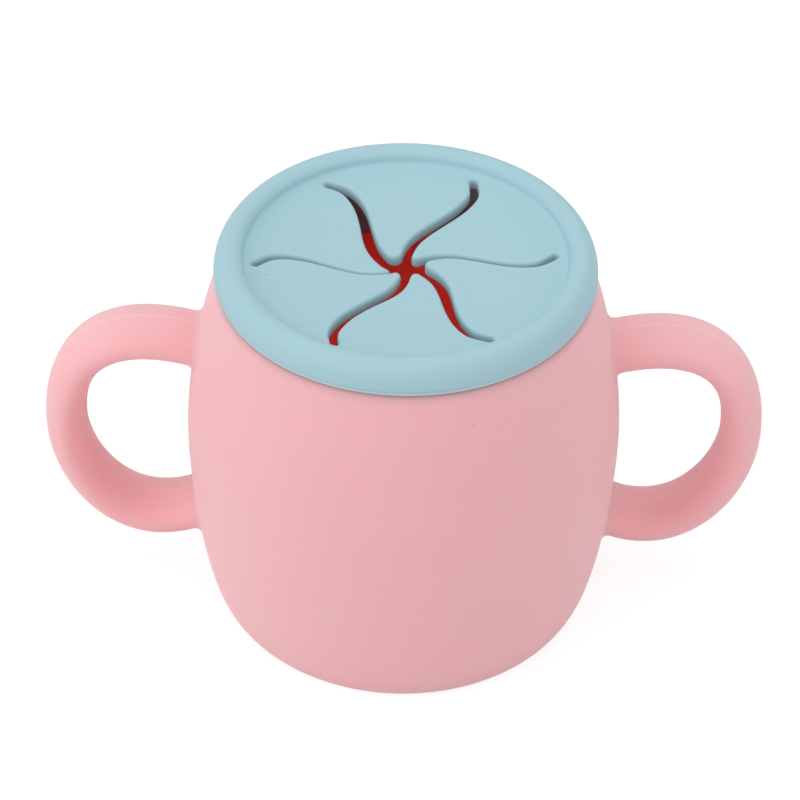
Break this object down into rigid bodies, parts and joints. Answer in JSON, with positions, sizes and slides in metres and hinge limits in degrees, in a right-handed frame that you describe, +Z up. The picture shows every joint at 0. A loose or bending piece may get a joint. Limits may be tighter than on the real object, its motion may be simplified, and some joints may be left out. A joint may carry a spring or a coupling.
{
  "type": "training cup",
  "caption": "Bellied silicone toddler cup with two side handles and a soft lid whose slit middle makes bending flaps.",
  "frame": {"origin": "centre of the flat base, on the surface the cup stands on", "axes": "+Z up the cup's axis, +X out along the right handle, -Y towards the viewer of the picture"},
  "size_m": [0.136, 0.082, 0.0793],
  "materials": {
    "pink_silicone": "matte",
    "blue_silicone": "matte"
  },
  "bodies": {
    "cup": {"cup_body": "pink_silicone", "left_handle": "pink_silicone", "right_handle": "pink_silicone"},
    "lid": {"lid_ring": "blue_silicone"},
    "flap_1": {"flap_1": "blue_silicone"},
    "flap_2": {"flap_2": "blue_silicone"},
    "flap_3": {"flap_3": "blue_silicone"},
    "flap_4": {"flap_4": "blue_silicone"},
    "flap_5": {"flap_5": "blue_silicone"},
    "flap_6": {"flap_6": "blue_silicone"}
  },
  "joints": [
    {"name": "lid_lift", "type": "slide", "parent": "cup", "child": "lid", "axis": [0, 0, 1], "range_m": [0, 0.04]},
    {"name": "flap_1_bend", "type": "hinge", "parent": "lid", "child": "flap_1", "pos_m": [0.01965, 0.01284, 0.07533], "axis": [0.5469, -0.8372, 0], "range_deg": [-40, 65], "stiffness_Nm_per_rad": 0.01},
    {"name": "flap_2_bend", "type": "hinge", "parent": "lid", "child": "flap_2", "pos_m": [-0.00129, 0.02344, 0.07533], "axis": [0.9985, 0.055, 0], "range_deg": [-40, 65], "stiffness_Nm_per_rad": 0.01},
    {"name": "flap_3_bend", "type": "hinge", "parent": "lid", "child": "flap_3", "pos_m": [-0.02094, 0.0106, 0.07533], "axis": [0.4516, 0.8922, 0], "range_deg": [-40, 65], "stiffness_Nm_per_rad": 0.01},
    {"name": "flap_4_bend", "type": "hinge", "parent": "lid", "child": "flap_4", "pos_m": [-0.01965, -0.01284, 0.07533], "axis": [-0.5469, 0.8372, 0], "range_deg": [-40, 65], "stiffness_Nm_per_rad": 0.01},
    {"name": "flap_5_bend", "type": "hinge", "parent": "lid", "child": "flap_5", "pos_m": [0.00129, -0.02344, 0.07533], "axis": [-0.9985, -0.055, 0], "range_deg": [-40, 65], "stiffness_Nm_per_rad": 0.01},
    {"name": "flap_6_bend", "type": "hinge", "parent": "lid", "child": "flap_6", "pos_m": [0.02094, -0.0106, 0.07533], "axis": [-0.4516, -0.8922, 0], "range_deg": [-40, 65], "stiffness_Nm_per_rad": 0.01}
  ]
}
